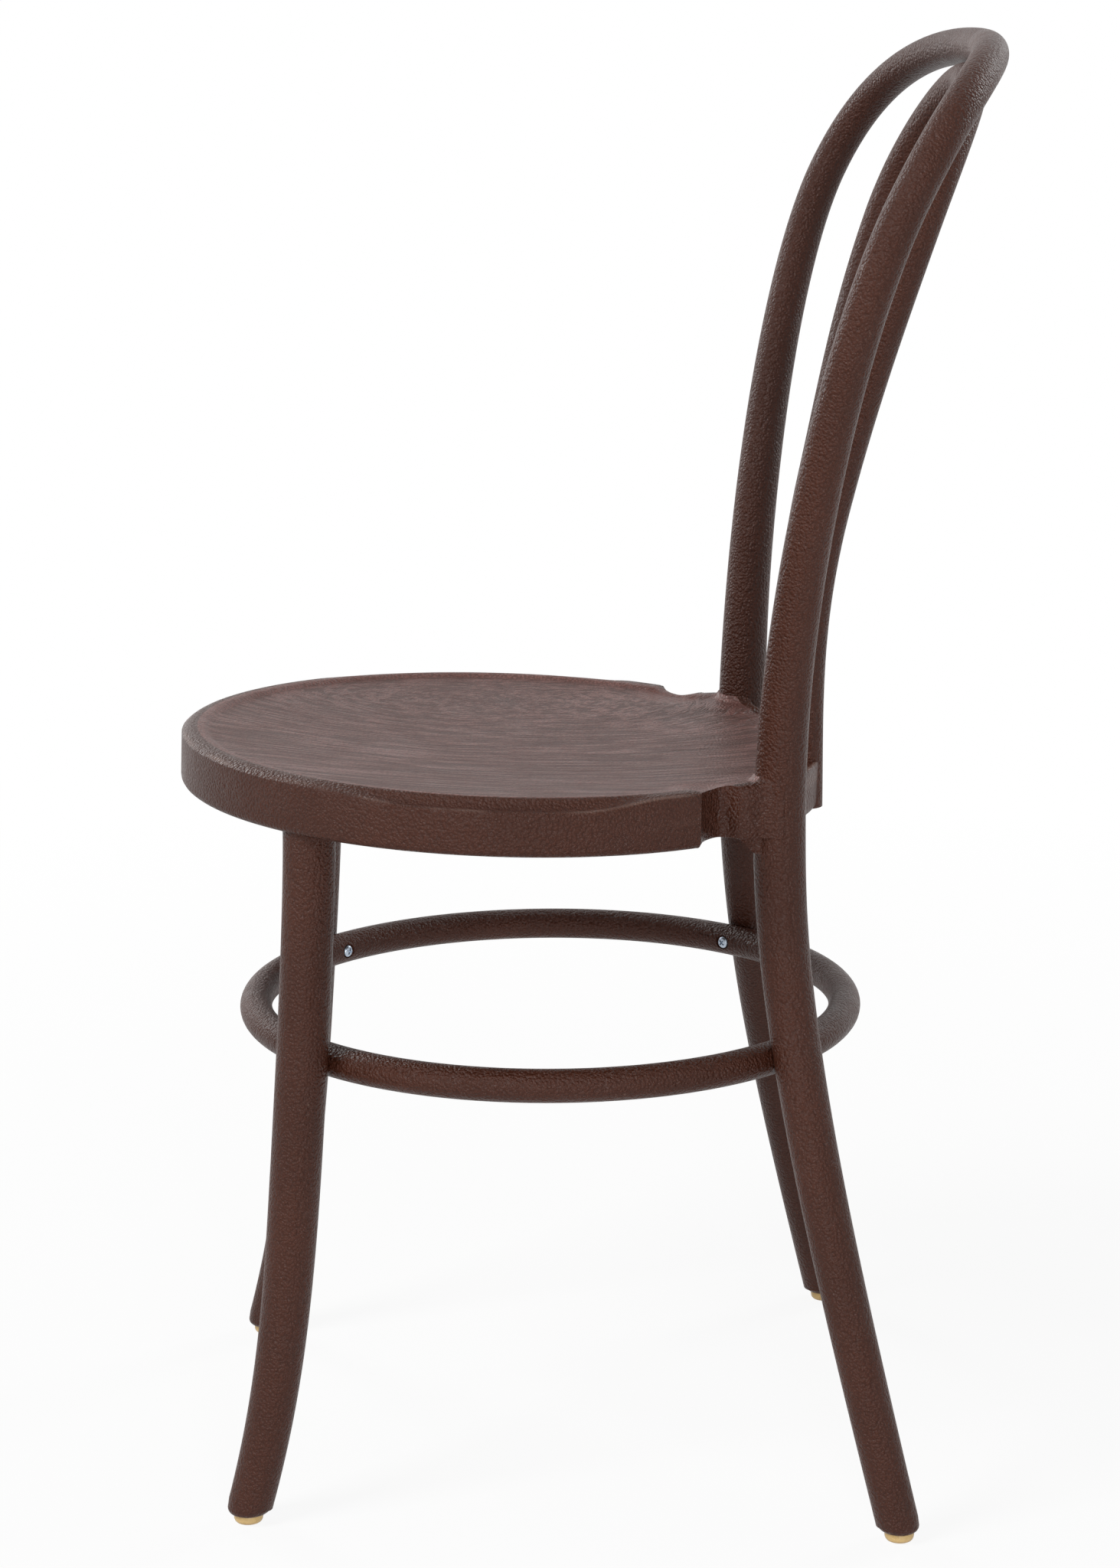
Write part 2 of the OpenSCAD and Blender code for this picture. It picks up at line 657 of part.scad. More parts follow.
seat();
back_frame();
inner_loop();
front_leg_left();
front_leg_right();
ring_stretcher();
ring_screws();
lug_screws();
front_leg_screws();
loop_foot_screws();
loop_top_screw();
glide_front_left();
glide_front_right();
glide_rear_left();
glide_rear_right();
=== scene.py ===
import math
import bpy
import bmesh
import numpy as np
from mathutils import Matrix, Vector


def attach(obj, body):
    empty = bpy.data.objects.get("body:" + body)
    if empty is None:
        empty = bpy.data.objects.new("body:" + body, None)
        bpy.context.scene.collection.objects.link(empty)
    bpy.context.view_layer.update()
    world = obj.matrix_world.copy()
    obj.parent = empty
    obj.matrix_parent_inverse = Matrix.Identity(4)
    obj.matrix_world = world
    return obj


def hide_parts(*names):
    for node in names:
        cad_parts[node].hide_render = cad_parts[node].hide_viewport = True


# Round-seat chair in the classic bentwood form, moulded in brown resin.
# The shapes are laid out in millimetres from the middle of the ring stretcher and turned into the packed
# model's metres by mm(). The sitter faces -y, and places are given for the side with positive x.

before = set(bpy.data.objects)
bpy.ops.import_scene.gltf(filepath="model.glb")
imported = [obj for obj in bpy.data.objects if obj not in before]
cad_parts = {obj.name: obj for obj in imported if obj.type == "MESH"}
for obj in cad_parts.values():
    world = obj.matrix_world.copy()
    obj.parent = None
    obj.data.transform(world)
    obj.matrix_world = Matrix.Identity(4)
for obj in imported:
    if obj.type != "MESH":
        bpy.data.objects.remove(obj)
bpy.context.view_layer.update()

MM_PER_M = 1000.0
UP = (0, 0, 1)

# How far the middle of the ring stretcher stands in front of the middle of the overall box
RING_TO_BOX = 21.34

# Seat: middle, height of the lip, fall to the back, outer radius, depth of the rim and radius of the panel
SEAT_Y = -29.5
SEAT_H = 460.0
SEAT_TILT = math.radians(2.2)
SEAT_R = 201.0
RIM_DEPTH = 34.5
PANEL_R = 183.5

# Lugs: top and bottom below the lip, and the heights between which their ends lie on the posts
LUG_TOP = -4.2
LUG_BOTTOM = -32.8
LUG_LOW_Z, LUG_HIGH_Z = 420.95, 449.6

# Ring stretcher: height and radius of its middle line, and radius of its bar
RING_H = 284.0
RING_R = 187.8
RING_BAR = 10.15

# Bars: where they pass the seat, and their radii there
POST = (126.66, 133.2)
POST_R = 15.97
LOOP_FOOT = (42.0, 157.5)
LOOP_R = 11.0
FRONT_TOP = (136.05, -148.2)

# Height of a glide, from the floor to the end of the leg
GLIDE_H = 6.0

# Sides of the round meshes
ROUND_SIDES = 48
LOOP_SIDES = 40

# Edges sharper than so many degrees stay crisp. The seat and the screws have the finer limit.
CRISP = 35
FINE_CRISP = 30


def mm(x, y, z):
    return Vector((x / MM_PER_M, (y - RING_TO_BOX) / MM_PER_M, z / MM_PER_M))


def seat_place(x, y, z):
    """World place of a point in the seat's own tilted frame, with z = 0 at the lip's top."""
    c, s = math.cos(SEAT_TILT), math.sin(SEAT_TILT)
    return mm(x, SEAT_Y + y * c + z * s, SEAT_H - y * s + z * c)


def unit(v):
    v = np.asarray(v, float)
    return v / np.linalg.norm(v)


def clamp(value):
    return min(max(value, 0.0), 1.0)


def turns(steps):
    """Angles of one full turn in equal steps."""
    return [2 * math.pi * k / steps for k in range(steps)]


# Mesh helpers

def shade(ob, sharp):
    """Smooth shading that stops at edges sharper than so many degrees."""
    bm = bmesh.new()
    bm.from_mesh(ob.data)
    for edge in bm.edges:
        edge.smooth = len(edge.link_faces) == 2 and edge.calc_face_angle(0) < math.radians(sharp)
    for face in bm.faces:
        face.smooth = True
    bm.to_mesh(ob.data)
    bm.free()


def new_object(name, data):
    ob = bpy.data.objects.new(name, data)
    bpy.context.scene.collection.objects.link(ob)
    return ob


def piece(name, verts, faces, sharp=CRISP):
    """A new object from vertices and faces, with its normals outwards."""
    mesh = bpy.data.meshes.new(name)
    mesh.from_pydata([tuple(v) for v in verts], [], faces)
    ob = new_object(name, mesh)
    bm = bmesh.new()
    bm.from_mesh(mesh)
    bmesh.ops.recalc_face_normals(bm, faces=bm.faces)
    bm.to_mesh(mesh)
    bm.free()
    shade(ob, sharp)
    return ob


def cut(ob, cutter, sharp=CRISP):
    """Takes the closed mesh cutter out of ob and deletes it."""
    change = ob.modifiers.new("cut", "BOOLEAN")
    change.operation = "DIFFERENCE"
    change.solver = "MANIFOLD"
    change.object = cutter
    result = bpy.data.meshes.new_from_object(ob.evaluated_get(bpy.context.evaluated_depsgraph_get()))
    ob.modifiers.clear()
    ob.data = result
    bpy.data.objects.remove(cutter)
    shade(ob, sharp)


def join(name, parts):
    """One object from several, kept as loose shells."""
    bm = bmesh.new()
    for part in parts:
        bm.from_mesh(part.data)
        bpy.data.objects.remove(part)
    mesh = bpy.data.meshes.new(name)
    bm.to_mesh(mesh)
    bm.free()
    return new_object(name, mesh)


def tube_faces(rows, around):
    """Faces of a closed tube, given as rows of vertices around it."""
    faces = []
    for i in range(rows - 1):
        for k in range(around):
            a, b = i * around + k, i * around + (k + 1) % around
            faces.append((a, b, b + around, a + around))
    faces.append(tuple(range(around - 1, -1, -1)))
    faces.append(tuple(range((rows - 1) * around, rows * around)))
    return faces


def lathe(name, profile, steps, place):
    """Closed turned form about its own +Z. The profile holds radius and height in millimetres."""
    verts = [place @ (Vector((r * math.cos(a), r * math.sin(a), z)) / MM_PER_M)
             for r, z in profile for a in turns(steps)]
    return piece(name, verts, tube_faces(len(profile), steps))


def facing(place, direction):
    """Matrix that puts +Z along a direction at a place."""
    return Matrix.Translation(place) @ Vector(direction).to_track_quat("Z", "Y").to_matrix().to_4x4()


def prism(name, outline, low, high, to_world):
    """Closed upright prism over an outline, with a function that places its corners."""
    verts = [to_world(x, y, z) for z in (low, high) for x, y in outline]
    return piece(name, verts, tube_faces(2, len(outline)))


def circle_points(x, y, r, steps=64):
    return [(x + r * math.cos(a), y + r * math.sin(a)) for a in turns(steps)]


def box_outline(angle, near, far, right, left):
    """Outline of a box laid along an angle in plan, between two radii and two offsets to its side."""
    u, v = (math.cos(angle), math.sin(angle)), (-math.sin(angle), math.cos(angle))
    corners = ((near, right), (far, right), (far, left), (near, left))
    return [(r * u[0] + t * v[0], r * u[1] + t * v[1]) for r, t in corners]


def mirrored(outline):
    return [(-x, y) for x, y in outline[::-1]]


# Centre lines and bars

def bend(p, tp, q, tq, out, into, steps):
    """Points of one bend from p, leaving along tp, to q, arriving along tq, without q itself.

    The shares out and into of the straight span say how far the bend keeps to each direction.
    """
    p, q = np.asarray(p, float), np.asarray(q, float)
    span = np.linalg.norm(q - p)
    a, b = p + unit(tp) * span * out, q - unit(tq) * span * into
    u = (np.arange(steps) / steps)[:, None]
    return (1 - u) ** 3 * p + 3 * (1 - u) ** 2 * u * a + 3 * (1 - u) * u * u * b + u ** 3 * q


def with_mirror(half):
    return np.vstack([half, half[-2::-1] * np.array([-1, 1, 1])])


def back_half():
    """Back leg, post and hoop up to the middle of the top."""
    lean = math.radians(25.2)
    foot, ring = (205.12, 200.81, 12.0), (154.54, 143.71, RING_H)
    post, side, top = (*POST, 430.0), (197.03, 193.69, 797.3), (0.0, 262.95, 880.8)
    slope, joint_slope = (-0.08, -0.24, 1), (-0.36, -0.14, 1)
    side_up = (0, math.sin(lean), math.cos(lean))
    return np.vstack([
        bend(foot, slope, ring, joint_slope, 0.34, 0.30, 30),
        bend(ring, joint_slope, post, UP, 0.38, 0.37, 24),
        bend(post, UP, side, side_up, 0.36, 0.20, 44),
        bend(side, side_up, top, (-1, 0, 0), 0.37, 0.52, 44),
        [top]])


def loop_half():
    """Inner loop from its foot in the seat up to the middle of its top."""
    lean = math.radians(18.9)
    foot, waist = (*LOOP_FOOT, 418.6), (53.4, 171.7, 610.0)
    side, top = (86.46, 216.4, 774.0), (0.0, 255.8, 860.6)
    waist_up, side_up = (0.13, 0.23, 1), (0, math.sin(lean), math.cos(lean))
    return np.vstack([
        bend(foot, UP, waist, waist_up, 0.36, 0.40, 26),
        bend(waist, waist_up, side, side_up, 0.36, 0.37, 26),
        bend(side, side_up, top, (-1, 0, 0), 0.39, 0.36, 36),
        [top]])


def front_leg_path():
    foot, ring, top = (159.6, -190.55, 12.0), (143.78, -155.16, RING_H), (*FRONT_TOP, 430.0)
    slope, joint_slope = (-0.04, 0.27, 1), (-0.01, 0.07, 1)
    return np.vstack([
        bend(foot, slope, ring, joint_slope, 0.32, 0.45, 36),
        bend(ring, joint_slope, top, UP, 0.32, 0.22, 24),
        [top, (*FRONT_TOP, 440.0), (*FRONT_TOP, 448.0)]])


# Heights along a bar, and its radii there
BACK_RADII = ([12, 220, 430, 520, 700, 880], [13.0, 14.24, POST_R, 14.44, 12.66, 11.18])
FRONT_RADII = ([12, 200, 430], [13.74, 15.54, 15.76])


def directions(path):
    d = np.gradient(path, axis=0)
    return d / np.linalg.norm(d, axis=1)[:, None]


def bar_radii(path, radii):
    """Radius along a path from a table by height, softened so that no step shows."""
    r = np.interp(path[:, 2], *radii)
    width = 17
    soft = np.hanning(width)
    return np.convolve(np.pad(r, width // 2, mode="edge"), soft / soft.sum(), mode="valid")


def foot_rings(path, r):
    """Rings of the rounded end below a foot: place, direction and radius."""
    edge = 5.0
    d = directions(path)[0]
    rings = []
    for a in np.radians([0, 10, 20, 32, 44, 58, 74]):
        z = GLIDE_H + edge * (1 - math.cos(a))
        place = path[0] + d * (z - path[0][2]) / d[2]
        rings.append((place, np.array(UP, float), r - edge + edge * math.sin(a)))
    return rings


def bar(name, rings, sides):
    """Closed round bar through rings of place, direction and radius."""
    verts = []
    for place, direction, r in rings:
        u = unit(np.cross(direction, (0, 1, 0)))
        v = np.cross(direction, u)
        for a in turns(sides):
            verts.append(mm(*(place + r * (math.cos(a) * u + math.sin(a) * v))))
    return piece(name, verts, tube_faces(len(rings), sides))


def make_back_frame():
    path = with_mirror(back_half())
    r = bar_radii(path, BACK_RADII)
    start = foot_rings(path, r[0])
    end = [(p * np.array([-1, 1, 1]), d, s) for p, d, s in start[::-1]]
    return bar("back_hoop", start + list(zip(path, directions(path), r)) + end, ROUND_SIDES)


# Screw pockets: radius at the floor of the pocket, radius at its mouth in the ring, and depth
POCKET_R = 4.75
POCKET_MOUTH_R = 5.3
POCKET_DEPTH = 2.2
LOOP_TOP_LEAN = math.radians(19.5)


def make_loop():
    path = with_mirror(loop_half())
    ob = bar("back_loop", [(p, d, LOOP_R) for p, d in zip(path, directions(path))], LOOP_SIDES)
    lean = np.array([0, math.sin(LOOP_TOP_LEAN), math.cos(LOOP_TOP_LEAN)])
    pocket_floor = path[len(path) // 2] - lean * (LOOP_R - POCKET_DEPTH)
    profile = [(POCKET_R, -8), (POCKET_R, 0)]
    cut(ob, lathe("pocket", profile, LOOP_SIDES, facing(mm(*pocket_floor), lean)))
    return ob


def make_front_leg(name, side):
    path = front_leg_path()
    r = bar_radii(path, FRONT_RADII)
    flip = np.array([side, 1, 1])
    rings = foot_rings(path, r[0]) + list(zip(path, directions(path), r))
    return bar(name, [(p * flip, d * flip, s) for p, d, s in rings], ROUND_SIDES)


# Ring stretcher and its screws

# Angle of each joint from straight back and turn of its screw's cross, in degrees
RING_JOINTS = [(47.0, 12), (-47.0, 40), (137.2, 65), (-137.2, 25)]
HEAD_REACH = RING_R - RING_BAR + POCKET_DEPTH


def joint_frame(degrees):
    """Matrix at a ring screw's pocket floor, with +Z outwards along the screw."""
    angle = math.radians(degrees)
    out = (math.sin(angle), math.cos(angle), 0)
    return facing(mm(HEAD_REACH * out[0], HEAD_REACH * out[1], RING_H), out)


def make_ring():
    around, tube = 260, 36
    verts, faces = [], []
    for a in turns(around):
        for b in turns(tube):
            r = RING_R + RING_BAR * math.cos(b)
            verts.append(mm(r * math.sin(a), r * math.cos(a), RING_H + RING_BAR * math.sin(b)))
    for i in range(around):
        for k in range(tube):
            next_i, next_k = (i + 1) % around, (k + 1) % tube
            faces.append((i * tube + k, i * tube + next_k, next_i * tube + next_k, next_i * tube + k))
    ob = piece("ring_stretcher_bar", verts, faces)
    profile = [(POCKET_MOUTH_R, -9), (POCKET_MOUTH_R, -2.0), (POCKET_R, -1.2), (POCKET_R, 0)]
    for angle, _ in RING_JOINTS:
        cut(ob, lathe("pocket", profile, ROUND_SIDES, joint_frame(angle)))
    return ob


# Radius and height of a pan head from the middle of its top to its shank
HEAD_PROFILE = [
    (0.3, -2.6), (1.6, -2.56), (2.5, -2.4), (3.2, -2.05), (3.7, -1.5), (3.95, -0.9), (4.0, -0.3),
    (3.9, 0.0), (2.0, 0.0), (2.0, 5.0)]
# Outline of one slot of its cross
CROSS_SLOT = [(-2.2, -0.55), (2.2, -0.55), (2.2, 0.55), (-2.2, 0.55)]


def make_screws():
    heads = []
    for angle, turn in RING_JOINTS:
        place = joint_frame(angle) @ Matrix.Rotation(math.radians(turn), 4, "Z")
        head = lathe("head", HEAD_PROFILE, ROUND_SIDES, place)
        for quarter in (0, math.pi / 2):
            turned = place @ Matrix.Rotation(quarter, 4, "Z")
            cut(head, prism("recess", CROSS_SLOT, -4.0, -1.0,
                            lambda x, y, z: turned @ (Vector((x, y, z)) / MM_PER_M)))
        heads.append(head)
    ob = join("ring_screw_heads", heads)
    shade(ob, FINE_CRISP)
    return ob


# Radius and height of a button glide from the floor up into the leg
GLIDE_PROFILE = [
    (6.0, 0.0), (6.8, 0.12), (7.7, 0.55), (8.4, 1.3), (8.85, 2.3), (9.0, 3.4), (9.0, 5.0),
    (8.85, 5.6), (8.4, 5.95), (3.0, 6.0), (3.0, 12.0)]


def make_glide(name, path, side):
    d = directions(path)[0]
    foot = path[0] + d * (GLIDE_H - path[0][2]) / d[2]
    return lathe(name, GLIDE_PROFILE, ROUND_SIDES, Matrix.Translation(mm(foot[0] * side, foot[1], 0)))


# Seat

# Outline of a lug in plan from the post's middle: rim's end, scoop and outer face
LUG_OUTLINE = [
    (40.3, -50.2), (31.5, -48.8), (25.0, -46.4), (19.6, -43.0), (15.6, -39.6), (13.9, -36.8),
    (13.6, -34.0), (14.0, -31.4), (15.6, -28.8), (16.9, -26.2), (17.3, -23.2), (17.0, -20.0),
    (15.8, -16.0), (14.6, -11.0), (16.0, 0.0)]

# Angles from straight back in degrees: start of the collar, start of the lug, and end of the rim
COLLAR_START, LUG_START, RIM_END = 30, 36, 56.0

# Panel: how far its edge lies below the lip, and its middle below its edge
PANEL_DROP, DISH_DEPTH = 2.5, 8.0

# From this radius outwards the lip rounds down where it has no ledge
LIP_R = 190
# Rows over the lip and its ledge: radius and height in front. Behind, all of them lie at LUG_TOP.
LIP_ROWS = [
    (184.2, -2.2), (185.6, -1.2), (187.0, -0.4), (188.8, -0.05), (190.2, 0.0), (191.3, -0.25),
    (192.4, -0.95), (193.2, -1.9), (193.7, -2.9), (194.4, -3.9), (195.6, -5.2), (197.2, -6.2),
    (198.8, -6.6)]
# Rows round the rim's upper edge: radius, height in front and height behind
CORNER_ROWS = [(199.7, -6.8, -4.3), (200.4, -7.3, -4.6), (200.8, -8.2, -5.1), (201.0, -9.6, -5.9)]
EDGE_ROWS = [(r, z, LUG_TOP) for r, z in LIP_ROWS] + CORNER_ROWS
# Rows round the rim's lower edge: step from the outline, height, and height on the lug
FOOT_ROWS = [
    (0.0, -29.8, -31.9), (-0.3, -31.6, -32.4), (-1.2, -33.1, -32.7), (-2.6, -34.1, -32.8),
    (-4.4, -34.5, -32.8)]
# Radii of the rows under the seat
UNDER_ROWS = (178.0, 90.0)
# Columns of the shell on one side: from and to which angle, and how far apart
COLUMN_SPANS = [
    (0, 30, 1.0), (30, 41, 0.5), (41, 45, 0.2), (45, 49, 0.07), (49, 58, 0.15), (58, 180.01, 1.25)]


def dish(r):
    """Height of the panel at a radius, measured from the lip's top."""
    return -PANEL_DROP - DISH_DEPTH * (1 - (r / PANEL_R) ** 2)


def lug_reach():
    """Radius of the seat's outline by its angle from straight back, over the lug and the scoop."""
    pts = np.array(LUG_OUTLINE)
    padded = np.vstack([2 * pts[0] - pts[1], pts, 2 * pts[-1] - pts[-2]])
    fine = []
    for i in range(len(pts) - 1):
        a, b, c, d = padded[i:i + 4]
        square, cubic = 2 * a - 5 * b + 4 * c - d, 3 * b - a - 3 * c + d
        for u in np.arange(0, 1, 0.1):
            fine.append(0.5 * (2 * b + (c - a) * u + square * u * u + cubic * u ** 3))
    fine = np.array(fine + [pts[-1]]) + np.array([POST[0], POST[1] - SEAT_Y])
    angle = np.degrees(np.arctan2(fine[:, 0], fine[:, 1]))
    reach = np.hypot(fine[:, 0], fine[:, 1])
    order = np.argsort(angle)
    return angle[order], reach[order]


LUG_ANGLES, LUG_REACH = lug_reach()


def outline_r(s):
    """Reach of the seat's outline at an angle from straight back. At the lug's start it is in the post."""
    if s >= RIM_END or s <= LUG_START:
        return SEAT_R
    if s < LUG_ANGLES[0]:
        return np.interp(s, [LUG_START, LUG_ANGLES[0]], [SEAT_R, LUG_REACH[0]])
    return min(np.interp(s, LUG_ANGLES, LUG_REACH), LUG_REACH[0])


def rim_share(r, s):
    """1 where the lip stands, 0 on the rear sector, with a concave ramp and a step at the rim's edge."""
    start = np.interp(r, [159, 165.5, 180], [47.7, 51.8, 56.4])
    end = np.interp(r, [159, 175, 184], [44.5, 47.0, 50.0])
    ramp = clamp((s - end) / (start - end)) ** 1.8
    edge = np.interp(s, [41, 44, 46.6, 48.5, 50, 52, 54, 56], [0, 0.4, 0.55, 0.42, 0.34, 0.36, 0.48, 1])
    outer = clamp((r - 177) / 9)
    return ramp * (1 - outer) + edge * outer


def ledge_share(s):
    """1 where a ledge runs outside the lip, 0 in front and at the rim's ends, where the lip has none."""
    u = clamp(min((s - 62) / 16, (128 - s) / 24))
    return u * u * (3 - 2 * u)


def collar(x, y):
    """Height of the broad flare round the post, with the small fillet where it meets the post."""
    flare_height, flare_width = 4.0, 27.0
    fillet_height, fillet_width = 3.4, 3.6
    d = max(math.hypot(x - POST[0], y - (POST[1] - SEAT_Y)) - POST_R, 0.0)
    flare = flare_height * max(0.0, 1 - d / flare_width) ** 1.3
    fillet = fillet_height * (1 - math.sqrt(1 - max(0.0, 1 - d / fillet_width) ** 2))
    return flare + fillet


def seat_column(s):
    """Radii and heights down one column of the seat at an angle from straight back, without its middle."""
    reach = outline_r(s)
    ledge = ledge_share(s)
    # Outside LIP_R a lip without a ledge falls by so much to the rim's edge, tighter with a higher power
    fall, power = np.interp(s, [78, 104], [2.2, 4.0]), np.interp(s, [78, 104], [6, 3])
    # Rows outside fixed_r stretch out over the lug. Those that the scoop cuts off are stacked with this gap.
    fixed_r, gap = 150, 0.02
    inner = list(np.arange(8, 152, 8)) + list(np.arange(153, 184, 1.25))
    rows = [(r, dish(r), min(dish(r), LUG_TOP)) for r in inner] + EDGE_ROWS
    column = []
    for i, (r, front, back) in enumerate(rows):
        share = rim_share(r, s) if s < 60 else 1.0
        if r > LIP_R:
            front = front * ledge - fall * ((r - LIP_R) / (SEAT_R - LIP_R)) ** power * (1 - ledge)
        z = front * share + back * (1 - share)
        if reach > SEAT_R and r > fixed_r:
            r = fixed_r + (r - fixed_r) * (reach - fixed_r) / (SEAT_R - fixed_r)
        elif LUG_START < s < RIM_END:
            limit = reach - gap * (len(rows) - 1 - i)
            if r > limit:
                z = max(z, column[-1][1] - gap / 2)
                r = limit
        column.append((r, z))
    in_lug = LUG_START < s < RIM_END - 1.3
    for step, front, back in FOOT_ROWS:
        column.append((reach + step * 0.4, back) if in_lug else (reach + step, front))
    return column + [(r, -RIM_DEPTH) for r in UNDER_ROWS]


def make_seat_shell():
    """The seat as one closed solid shell, with the number of its top rows, its rows and its angles."""
    half = np.concatenate([np.arange(*span) for span in COLUMN_SPANS])
    half[-1] = 180.0
    angles = list(-half[-2:0:-1]) + list(half)
    columns = [seat_column(abs(a)) for a in angles]
    rows = len(columns[0])
    top_rows = rows - len(FOOT_ROWS) - len(UNDER_ROWS)
    verts = [seat_place(0, 0, dish(0)), seat_place(0, 0, -RIM_DEPTH)]
    for a, column in zip(angles, columns):
        sin, cos = math.sin(math.radians(a)), math.cos(math.radians(a))
        for i, (r, z) in enumerate(column):
            x, y = r * sin, r * cos
            if COLLAR_START < abs(a) < RIM_END:
                if i < top_rows:
                    z += collar(abs(x), y)
                else:
                    # The lug's side stands upright on the tilted seat
                    y += (LUG_TOP - z) * math.tan(SEAT_TILT)
            verts.append(seat_place(x, y, z))
    faces = []
    for k in range(len(angles)):
        a, b = 2 + k * rows, 2 + ((k + 1) % len(angles)) * rows
        faces.append((0, a, b))
        for i in range(rows - 1):
            faces.append((a + i, a + i + 1, b + i + 1, b + i))
        faces.append((a + rows - 1, 1, b + rows - 1))
    return piece("seat_shell", verts, faces, FINE_CRISP), top_rows, rows, angles


def seat_hollow():
    """Hollow under the panel, with the ribs and the blocks left standing."""
    wall_r, thick, below = 196.0, 5.0, -RIM_DEPTH - 2
    rib_low, rib_high, rib_half = -22.5, 2.0, 1.5
    leg_block_r, loop_block_r = 20.3, 15.5
    profile = [(0.5, below), (wall_r, below), (wall_r, -14.5), (195.2, -11.0), (193.0, -9.0), (190.0, -8.4)]
    profile += [(r, dish(r) - thick) for r in np.linspace(180, 10, 24)] + [(0.5, dish(0) - thick)]
    steps = 160
    verts = [seat_place(r * math.cos(a), r * math.sin(a), z) for r, z in profile for a in turns(steps)]
    hollow = piece("hollow", verts, tube_faces(len(profile), steps))
    ring_rib = prism("rib", circle_points(0, 0, 85 + rib_half, 128), rib_low, rib_high, seat_place)
    inside = circle_points(0, 0, 85 - rib_half, 128)
    cut(ring_rib, prism("rib_inside", inside, rib_low - 5, rib_high + 5, seat_place))
    cut(hollow, ring_rib)
    for k in range(8):
        strip = box_outline(math.radians(22.5 + 45 * k), 85, 199, -rib_half, rib_half)
        cut(hollow, prism("rib", strip, rib_low, rib_high, seat_place))
    lug = box_outline(math.atan2(POST[1] - SEAT_Y, POST[0]), 177.2, 205, -58, 26)
    leg = circle_points(FRONT_TOP[0], FRONT_TOP[1] - SEAT_Y, leg_block_r)
    loop_end = circle_points(LOOP_FOOT[0], LOOP_FOOT[1] - SEAT_Y, loop_block_r)
    for outline, low in ((lug, LUG_BOTTOM), (leg, -RIM_DEPTH - 3), (loop_end, -RIM_DEPTH - 3)):
        for shape in (outline, mirrored(outline)):
            cut(hollow, prism("block", shape, low, rib_high, seat_place))
    return hollow


def make_tongue(side):
    """Thin end of the lug on the post. It stands a little proud, and its border sinks in as a seam."""
    start, end, inset = -62, 4, 0.35
    proud, sunk = 0.17, -0.25
    angles = [start, start + 1.2] + list(np.arange(start + 4, end - 3, 3)) + [end - 1.2, end]
    heights = [LUG_LOW_Z, LUG_LOW_Z + inset] + list(np.linspace(LUG_LOW_Z + 4, LUG_HIGH_Z - 4, 6))
    heights += [LUG_HIGH_Z - inset, LUG_HIGH_Z]
    verts, faces = [], []
    for i, a in enumerate(angles):
        for j, z in enumerate(heights):
            border = i in (0, len(angles) - 1) or j in (0, len(heights) - 1)
            r = POST_R + (sunk if border else proud)
            x = POST[0] + r * math.cos(math.radians(a))
            verts.append(mm(side * x, POST[1] + r * math.sin(math.radians(a)), z))
    n = len(heights)
    for i in range(len(angles) - 1):
        for j in range(n - 1):
            faces.append((i * n + j, i * n + j + 1, (i + 1) * n + j + 1, (i + 1) * n + j))
    return piece("tongue", verts, faces)


def make_gusset(side):
    """Small gusset under the lug, in front of the post."""
    line = [(-25.0, 3.0), (-25.0, -0.6), (-15.5, -10.0), (-10.0, -10.0), (-10.0, 3.0)]
    verts = [mm(side * (POST[0] + x), POST[1] + y, LUG_LOW_Z + z) for x in (5.0, 11.0) for y, z in line]
    return piece("gusset", verts, tube_faces(2, len(line)))


# Places of the seat's two materials in its list
TOP, WALL = 0, 1
# How many of the outermost top rows have the wall's material, on the rear sector and elsewhere
REAR_WALL_ROWS, LIP_WALL_ROWS = 9, 12
# Faces that look less upwards than this have the wall's material too
TOP_NORMAL = 0.25


def add_seat_materials(ob):
    for material in (seat_top, seat_wall):
        ob.data.materials.append(material)


def make_seat():
    shell, top_rows, rows, angles = make_seat_shell()
    add_seat_materials(shell)
    for index, face in enumerate(shell.data.polygons):
        column, row = index // (rows + 1), index % (rows + 1) - 1
        wall_rows = REAR_WALL_ROWS if abs(angles[column]) < RIM_END else LIP_WALL_ROWS
        face.material_index = TOP if row < top_rows - wall_rows else WALL
    hollow = seat_hollow()
    add_seat_materials(hollow)
    extras = [make_tongue(1), make_tongue(-1), make_gusset(1), make_gusset(-1)]
    for ob in [hollow] + extras:
        for face in ob.data.polygons:
            face.material_index = WALL
    cut(shell, hollow, FINE_CRISP)
    for face in shell.data.polygons:
        if face.normal.z < TOP_NORMAL:
            face.material_index = WALL
    seat = join("seat_moulding", [shell] + extras)
    add_seat_materials(seat)
    return seat


# Materials

class Tree:
    """Adds nodes to a node tree."""

    def __init__(self, tree):
        self.nodes = tree.nodes
        self.links = tree.links

    def add(self, kind, inputs, **settings):
        n = self.nodes.new(kind)
        for key, value in settings.items():
            setattr(n, key, value)
        for key, value in inputs.items():
            self.set(n, key, value)
        return n

    def set(self, n, key, value):
        if isinstance(value, bpy.types.NodeSocket):
            self.links.new(value, n.inputs[key])
        else:
            n.inputs[key].default_value = value

    def math(self, operation, a, b=0.0):
        return self.add("ShaderNodeMath", {0: a, 1: b}, operation=operation).outputs[0]

    def times(self, first, *others):
        for other in others:
            first = self.math("MULTIPLY", first, other)
        return first

    def weighted(self, a, a_weight, b, b_weight):
        return self.math("ADD", self.times(a, a_weight), self.times(b, b_weight))

    def length(self, a, b):
        return self.math("SQRT", self.math("ADD", self.times(a, a), self.times(b, b)))


